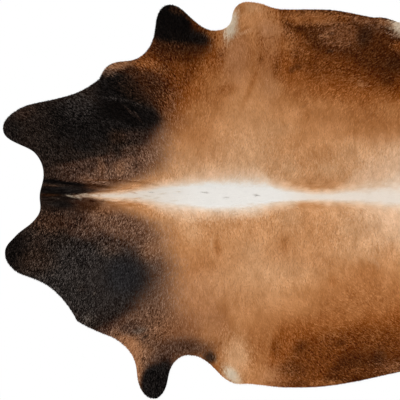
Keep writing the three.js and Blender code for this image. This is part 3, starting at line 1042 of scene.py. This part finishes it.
def laid_band(roots, group):
    """Runs the tree on one band of roots and keeps the result as a plain mesh."""
    modifier = roots.modifiers.new("lay", "NODES")
    modifier.node_group = group
    for item in group.interface.items_tree:
        if item.item_type == "SOCKET" and item.name in LAYING:
            modifier[item.identifier] = LAYING[item.name]
    bpy.context.view_layer.update()
    depsgraph = bpy.context.evaluated_depsgraph_get()
    mesh = bpy.data.meshes.new_from_object(roots.evaluated_get(depsgraph), depsgraph=depsgraph)
    name = roots.name
    roots.modifiers.clear()
    bare = roots.data
    roots.data = mesh
    bpy.data.meshes.remove(bare)
    mesh.name = name
    flat_map(mesh)
    return roots


def coat_of_hair(loop, material):
    x, y, inside = lock_roots(loop)
    dx, dy = comb(x, y)
    draw = dice(HAIRS)
    chart = Chart(CLUMP_CELL)
    spine = along_spine(y)
    threads = 2.0 * cloud(x / THREAD_RUN, y, THREAD_WIDTH, THREADS)
    clump = chart.read(streaks(chart, CLUMPS, 2), x, y) * (1 - spine) + threads * spine
    own = draw.normal(size=len(x)) * (1 - 0.7 * spine)
    jitter = np.clip(0.5 * clump + 0.75 * own, -2.0, 2.0)
    ruffle = ruffling(x, y)
    heading = np.arctan2(dy, dx) + draw.normal(size=len(x)) * HEADING_SPREAD
    reach = 1 - (1 - FINE_LENGTH) * fine_hair(x, y)
    to_edge = np.clip((inside + EDGE_OVERHANG) / LOCK_LENGTH, 0.25, 1.0)
    reach = np.minimum(reach, to_edge * 1.15)
    root = finish_coat(x, y, paint(x, y, jitter), clump, own, inside)
    tip_x = x + np.cos(heading) * reach * LOCK_LENGTH
    tip_y = y + np.sin(heading) * reach * LOCK_LENGTH
    tip = finish_coat(tip_x, tip_y, paint(tip_x, tip_y, jitter), clump, own, inside)
    pale = palest(root)
    # Painted shade at each lock's root and painted light at its tip
    root_painted_shade = ROOT_PAINTED_SHADE + (1 - ROOT_PAINTED_SHADE) * pale
    loss = HAIR_LOSS * (1 - PALE_LOSS * pale[:, None])
    broader = 1 + PALE_BREADTH * pale * (1 - 0.5 * on_neck(x))
    columns = {
        "place": np.column_stack([x, y, skin_height(x, y) + SKIN_THICKNESS - ROOT_DEPTH]),
        "heading": heading,
        "ruffle": ruffle,
        "reach": reach,
        "breadth": (1 - (1 - FINE_WIDTH) * fine_hair(x, y)) * broader,
        "coat": to_light(root) * loss * root_painted_shade[:, None],
        "coat_tip": to_light(tip) * loss * TIP_PAINTED_LIGHT,
    }
    blade = lock_blade()
    group = laying_tree(blade, material)
    order = np.argsort(x, kind="stable")
    pieces = []
    for name, part in zip(BANDS, np.array_split(order, len(BANDS))):
        roots = root_cloud(name, {key: column[part] for key, column in columns.items()})
        pieces.append(laid_band(roots, group))
    bpy.data.node_groups.remove(group)
    bpy.data.objects.remove(blade)
    return pieces


def ruffling(x, y):
    """How unevenly the hair lies: sleek on the back, rougher on the neck and the belly."""
    neck = ramp(x, -0.34, -0.58)
    belly = ramp(np.abs(y), 0.36, 0.66)
    rough = 0.25 + 0.75 * np.maximum(neck, 0.5 * belly)
    return rough * (1 - 0.6 * ramp(np.abs(y), 0.07, 0.035) * ramp(x, -0.55, -0.35))


# How strongly the single hairs differ from each other, by how bright the coat is there
GRAIN = [
    # brightness, strength
    (0.05, 1.15),
    (0.1, 0.76),
    (0.15, 0.62),
    (0.2, 0.58),
    (0.3, 0.41),
    (0.38, 0.24),
    (0.46, 0.085),
    (0.58, 0.032),
    (0.85, 0.005),
]
NECK_GRAIN = 0.4         # how much more they differ on the neck
SLEEK = [
    # x, y, long, wide and how much less they differ there
    (-0.66, -0.4, 0.18, 0.14, 0.5),
    (-0.46, -0.62, 0.16, 0.15, 0.25),
]
STRANDS = (-2.2, 1.6)    # the darkest and the lightest that a single hair may be
GRAIN_GAIN = 80.0        # the grain would lighten the coat by this much, so it is taken off
RIM_WIDTH = 0.006        # how wide the painted shade along the cut edge is, where the hair turns down over it
RIM_PAINTED_SHADE = 0.08
MOTTLE = [(0.055, 6.0), (0.03, 8.0), (0.013, 8.0)]   # sizes, and strengths in screen values


def shifted(colour, amount):
    """Lighter or darker by nearly the same amount in all channels, but never below black."""
    amount = amount[:, None]
    warmer = 0.85 + 0.15 * colour / colour.mean(axis=1, keepdims=True)
    share = np.where(amount > 0.0, warmer, colour / (colour + 6.0))
    return np.maximum(colour + amount * share, 2.0)


def finish_coat(x, y, colour, clump, own, inside):
    """Mottling, the single locks' own differences and a painted shade along the cut edge."""
    bright = colour.mean(axis=1) / 255.0
    neck = on_neck(x)
    mottle = sum(
        high * cloud(x, 0.65 * y, size, MOTTLING + i) for i, (size, high) in enumerate(MOTTLE)
    )
    mottle = mottle * (1 + 0.25 * ramp(x, 0.0, 0.25))
    mottle = mottle * ramp(bright, 0.9, 0.7) * ramp(bright, -0.2, 0.8)
    depth = read_off(GRAIN, 1, bright) * (1 + NECK_GRAIN * neck)
    for sx, sy, long, wide, less in SLEEK:
        depth = depth * (1 - less * smooth(1.4 - np.hypot((x - sx) / long, (y - sy) / wide)))
    depth = depth + 0.05 * neck * ramp(bright, 0.85, 0.65)
    pale = ramp(bright, 0.3, 0.5)
    strands = (0.9 - 0.5 * pale) * own + (0.4 + 0.5 * pale) * clump
    grain = 255.0 * bright * depth * np.clip(strands, *STRANDS)
    # painted shade along the cut edge
    rim = 1 - RIM_PAINTED_SHADE * ramp(inside, RIM_WIDTH, 0.0)
    colour = shifted(colour, mottle - GRAIN_GAIN * bright * smooth(6.0 * bright) * depth ** 2)
    return shifted(colour, grain) * rim[:, None]


# ---- materials ----

UNDER_HAIR_PAINTED_SHADE = np.array([0.9, 0.87, 0.84])   # the skin between the locks is a little darker: a painted shade for the hair below the locks
SUEDE = (0.44, 0.36, 0.27, 1.0)            # the flesh side


def hair_material():
    material, tree = new_material("coat hair")
    root = tree.add("ShaderNodeAttribute", attribute_name="coat")
    tip = tree.add("ShaderNodeAttribute", attribute_name="coat_tip")
    along = tree.add("ShaderNodeAttribute", attribute_name="along", out="Fac")
    place = tree.add("ShaderNodeTexCoord", out="Object")
    fine = tree.add("ShaderNodeTexNoise", {"Vector": place, "Scale": 900.0, "Detail": 1.0})
    shade = 1.0 + 0.12 * (fine - 0.5)
    # The root's colour, with its painted shade, gives way along the lock to the tip's, with its
    # painted light
    colour = tint(tree, tint(tree, root, tip, "MIX", along), shade)
    roughness = 0.62 + 0.2 * (fine - 0.5)
    shader = tree.add("ShaderNodeBsdfPrincipled", {
        "Base Color": colour,
        "Roughness": roughness,
        "Specular IOR Level": 0.012,
    })
    tree.add("ShaderNodeOutputMaterial", {"Surface": shader})
    return material


def skin_material():
    material, tree = new_material("tanned skin")
    place = tree.add("ShaderNodeTexCoord", out="Object")
    side = tree.add("ShaderNodeAttribute", attribute_name="hair_side", out="Fac")
    coat = tree.add("ShaderNodeAttribute", attribute_name="coat")
    nap = tree.add("ShaderNodeTexNoise", {"Vector": place, "Scale": 420.0, "Detail": 3.0})
    patch = tree.add("ShaderNodeTexNoise", {"Vector": place, "Scale": 7.0, "Detail": 3.0})
    suede_shade = 0.8 + 0.25 * nap + 0.16 * (patch - 0.5)
    suede = tint(tree, SUEDE, suede_shade)
    colour = tint(tree, suede, coat, "MIX", side)
    bump = tree.add("ShaderNodeBump", {"Strength": 0.35, "Distance": 0.0008, "Height": nap})
    shader = tree.add("ShaderNodeBsdfPrincipled", {
        "Base Color": colour,
        "Roughness": 0.85 + 0.1 * (nap - 0.5),
        "Specular IOR Level": 0.1,
        "Normal": bump,
    })
    tree.add("ShaderNodeOutputMaterial", {"Surface": shader})
    return material


def paint_skin(skin):
    """The skin's hair side takes the colour of the hair over it, a little darker in painted shade
    except under the palest coat.
    """
    places = vertex_places(skin.data)
    screen = paint(places[:, 0], places[:, 1], np.zeros(len(places)))
    colour = to_light(screen) * (UNDER_HAIR_PAINTED_SHADE + (1.0 - UNDER_HAIR_PAINTED_SHADE) * palest(screen)[:, None])
    add_colours(skin.data, "coat", colour)


# ---- studio ----

FLOOR_HALF = 15.0
FLOOR_GREY = 0.93
FLOOR_SEEN_WHITE = 0.8   # how much of the floor's look is plain white; the rest keeps the shadow
SKY_LEVEL = 0.59
KEY_LEVEL = 0.49         # the share of a flat surface's light that comes from the key lamp
KEY_TURN = math.radians(135)
KEY_TILT = math.radians(42)
KEY_SOFTNESS = math.radians(40)
WHITE = (1.0, 1.0, 1.0, 1.0)


def seen_white(tree, shader, share):
    """The shader, with a share of plain white where the camera or a reflection sees it."""
    rays = tree.add("ShaderNodeLightPath")
    glossy, through = (tree.shared(rays, name) for name in ("Is Glossy Ray", "Is Transmission Ray"))
    seen = rays.math("MAXIMUM", rays.math("MAXIMUM", rays, glossy), through)
    white = tree.add("ShaderNodeEmission", {"Color": WHITE, "Strength": 1.0})
    return tree.add("ShaderNodeMixShader", {0: seen * share, 1: shader, 2: white})


def pale_floor():
    mesh = bpy.data.meshes.new("floor")
    corners = [(FLOOR_HALF * x, FLOOR_HALF * y, 0) for x, y in ((-1, -1), (1, -1), (1, 1), (-1, 1))]
    mesh.from_pydata(corners, [], [(0, 1, 2, 3)])
    floor = placed("floor", mesh)
    material, tree = new_material("pale floor")
    plain = tree.add("ShaderNodeBsdfDiffuse", {"Color": (FLOOR_GREY, FLOOR_GREY, FLOOR_GREY, 1.0)})
    tree.add("ShaderNodeOutputMaterial", {"Surface": seen_white(tree, plain, FLOOR_SEEN_WHITE)})
    mesh.materials.append(material)


def soft_light():
    world = bpy.data.worlds.new("studio")
    world.use_nodes = True
    world.node_tree.nodes.clear()
    tree = Tree(world.node_tree.nodes, world.node_tree.links)
    sky = tree.add("ShaderNodeBackground", {"Color": WHITE, "Strength": SKY_LEVEL})
    rays = tree.add("ShaderNodeLightPath")
    white = tree.add("ShaderNodeBackground", {"Color": WHITE, "Strength": 1.0})
    seen = tree.add("ShaderNodeMixShader", {0: rays, 1: sky, 2: white})
    tree.add("ShaderNodeOutputWorld", {"Surface": seen})
    bpy.context.scene.world = world
    lamp = bpy.data.lights.new("key", "SUN")
    lamp.energy = KEY_LEVEL * math.pi / math.cos(KEY_TILT)
    lamp.angle = KEY_SOFTNESS
    key = placed("key", lamp)
    key.rotation_euler = (KEY_TILT, 0.0, KEY_TURN + math.pi / 2)
    bpy.context.scene.view_settings.view_transform = "Standard"


# ---- making ----

look_straight_down()
soft_light()
pale_floor()

outline = edge_loop(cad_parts["cowhide"])

skin = skin_sheet(outline)
paint_skin(skin)
skin.data.materials.append(skin_material())
hair = coat_of_hair(outline, hair_material())

for piece in [skin] + hair:
    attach(piece, "root")
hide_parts("cowhide")
